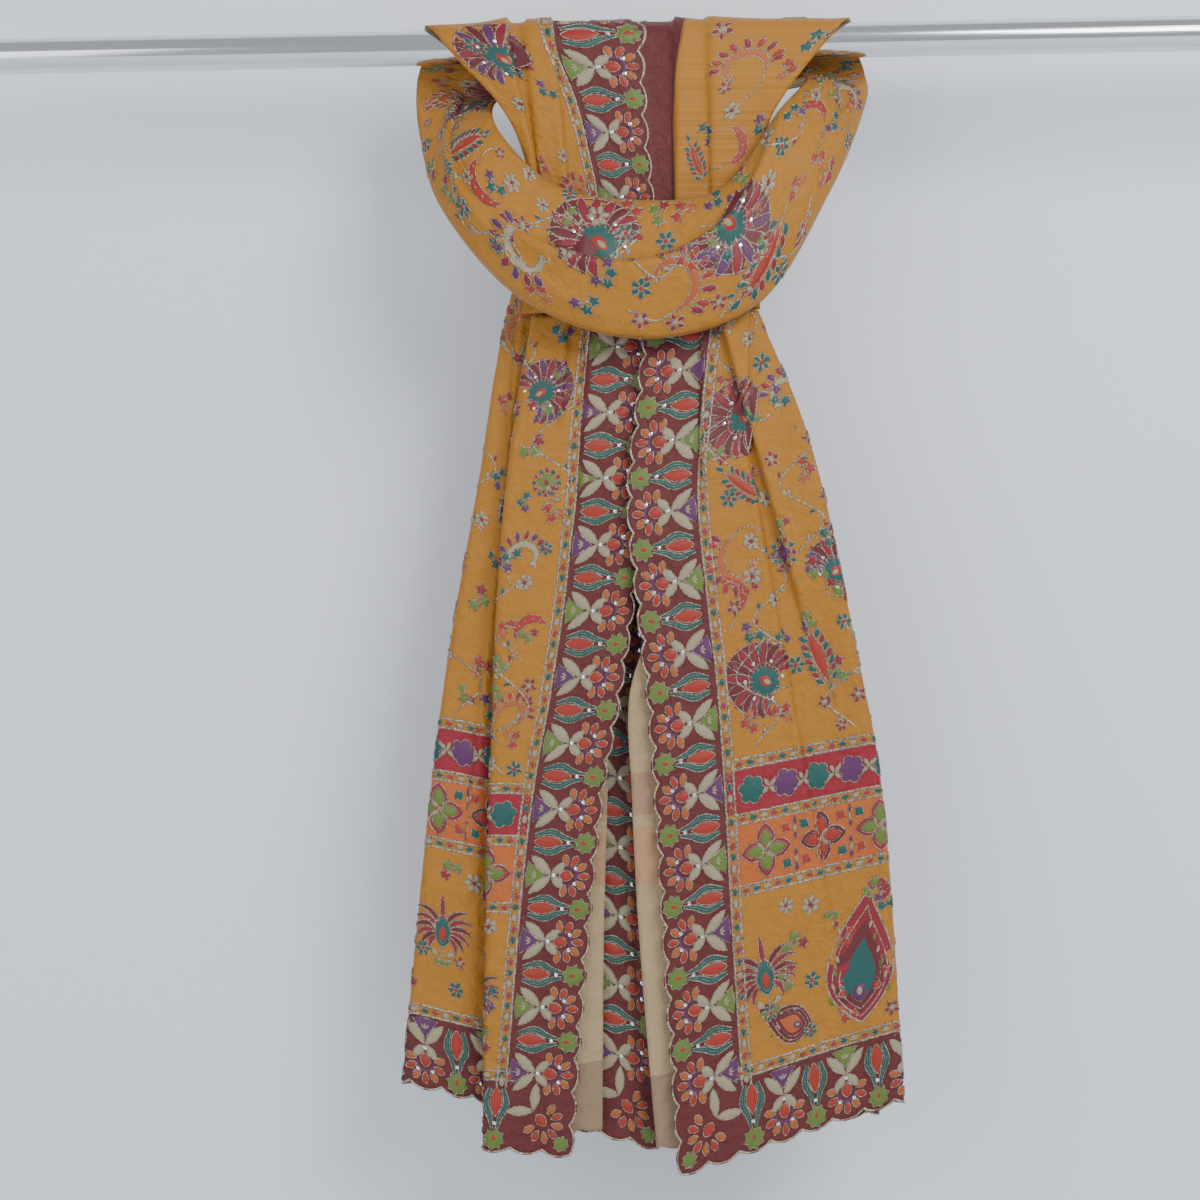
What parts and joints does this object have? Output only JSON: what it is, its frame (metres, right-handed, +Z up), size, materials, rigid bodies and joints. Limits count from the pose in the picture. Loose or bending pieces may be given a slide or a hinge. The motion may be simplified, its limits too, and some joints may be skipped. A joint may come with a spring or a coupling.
{
  "type": "dupatta stole on a rail",
  "caption": "Long embroidered stole folded in half over a round rail and drawn through its own fold, with both scalloped ends hanging in front.",
  "frame": {"origin": "on the rail's axis, halfway along it, at the middle of the cloth that lies over it", "axes": "+X along the rail to the viewer's right, +Y to the back, +Z up"},
  "size_m": [1.0688, 0.1059, 0.9228],
  "materials": {
    "cloth": "soft crepe silk in mustard with a low sheen, a maroon scalloped border and dense coloured thread work",
    "embroidery": "flat filled motifs in red, maroon, orange, teal, purple, green and cream thread",
    "metal_thread": "twisted silver-gilt thread outlines with small sequins",
    "rail": "polished chrome tube",
    "rail_cap": "plain satin chrome end plate"
  },
  "bodies": {
    "root": {"rail": "rail", "rail_cap_left": "rail_cap", "rail_cap_right": "rail_cap", "rise_over_rail": "cloth", "collar_left": "cloth", "collar_front": "cloth", "collar_right": "cloth", "right_end_front": "cloth", "left_end_front": "cloth", "right_end_back": "cloth", "left_end_back": "cloth"}
  },
  "joints": []
}
